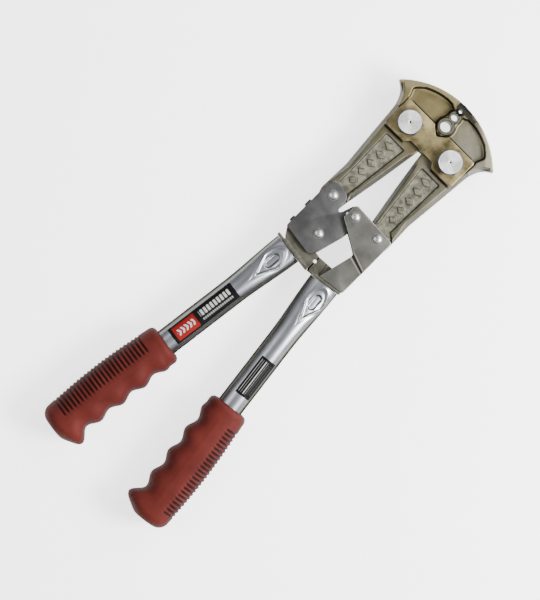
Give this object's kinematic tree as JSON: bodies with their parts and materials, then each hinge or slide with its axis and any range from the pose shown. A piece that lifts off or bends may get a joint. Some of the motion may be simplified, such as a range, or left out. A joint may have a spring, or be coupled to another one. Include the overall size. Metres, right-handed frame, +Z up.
{
  "type": "sleeve crimping tool",
  "caption": "Two-handed compound-lever crimping tool with split jaws, side straps, pressed steel brackets, tube handles and moulded rubber grips.",
  "frame": {"origin": "bottom centre of the tool's box as it lies on its back with the jaws closed", "axes": "+Y from the grips towards the jaws, +Z up through the thickness of the tool, out of its front face, +X to the right seen from the front"},
  "size_m": [0.1474, 0.4548, 0.0432],
  "materials": {
    "forged_jaw": "forged steel, thin yellow-olive plating, satin, worn brighter along edges",
    "plated_strap": "yellow zinc plated plate, satin",
    "bright_zinc": "bright zinc, turned marks on the heads",
    "cool_plate": "dark satin steel plate, cool grey",
    "warm_plate": "dark satin steel plate, warm grey",
    "forged_yoke": "forged, matt olive grey",
    "tube_steel": "bright drawn tube with long fine marks",
    "red_rubber": "matt moulded rubber, dark red",
    "label_film": "printed film label, black"
  },
  "bodies": {
    "head": {"front_strap": "plated_strap", "rear_strap": "plated_strap", "pivot_bolt_left": "bright_zinc", "pivot_bolt_right": "bright_zinc", "pivot_nut_left": "bright_zinc", "pivot_nut_right": "bright_zinc"},
    "jaw_left": {"jaw_left": "forged_jaw"},
    "jaw_right": {"jaw_right": "forged_jaw"},
    "handle_left": {"left_front_plate": "cool_plate", "left_rear_plate": "cool_plate", "left_yoke": "forged_yoke", "left_tube": "tube_steel", "left_grip": "red_rubber", "left_jaw_rivet": "bright_zinc", "left_bracket_rivet": "bright_zinc", "left_label": "label_film"},
    "handle_right": {"right_front_plate": "warm_plate", "right_rear_plate": "warm_plate", "right_yoke": "forged_yoke", "right_tube": "tube_steel", "right_grip": "red_rubber", "right_jaw_rivet": "bright_zinc", "centre_pivot_rivet": "bright_zinc", "centre_bush": "bright_zinc", "right_front_spacer": "warm_plate", "right_rear_spacer": "warm_plate", "right_label": "label_film"}
  },
  "joints": [
    {"name": "jaw_left_pivot", "type": "hinge", "parent": "head", "child": "jaw_left", "pos_m": [-0.0245, 0.18157, 0.0207], "axis": [0, 0, 1], "range_deg": [0, 6.01]},
    {"name": "jaw_right_pivot", "type": "hinge", "parent": "head", "child": "jaw_right", "pos_m": [0.0245, 0.18157, 0.0207], "axis": [0, 0, 1], "range_deg": [-6.01, 0]},
    {"name": "handle_left_pivot", "type": "hinge", "parent": "jaw_left", "child": "handle_left", "pos_m": [-0.027, 0.09057, 0.0207], "axis": [0, 0, 1], "range_deg": [-55.67, 0]},
    {"name": "handle_right_pivot", "type": "hinge", "parent": "jaw_right", "child": "handle_right", "pos_m": [0.027, 0.09057, 0.0207], "axis": [0, 0, 1], "range_deg": [0, 55.68]}
  ],
  "couplings": [
    {"joint": "jaw_left_pivot", "follows": "handle_left_pivot", "ratio": -0.10778},
    {"joint": "jaw_right_pivot", "follows": "handle_left_pivot", "ratio": 0.10778},
    {"joint": "handle_right_pivot", "follows": "handle_left_pivot", "ratio": -1}
  ]
}
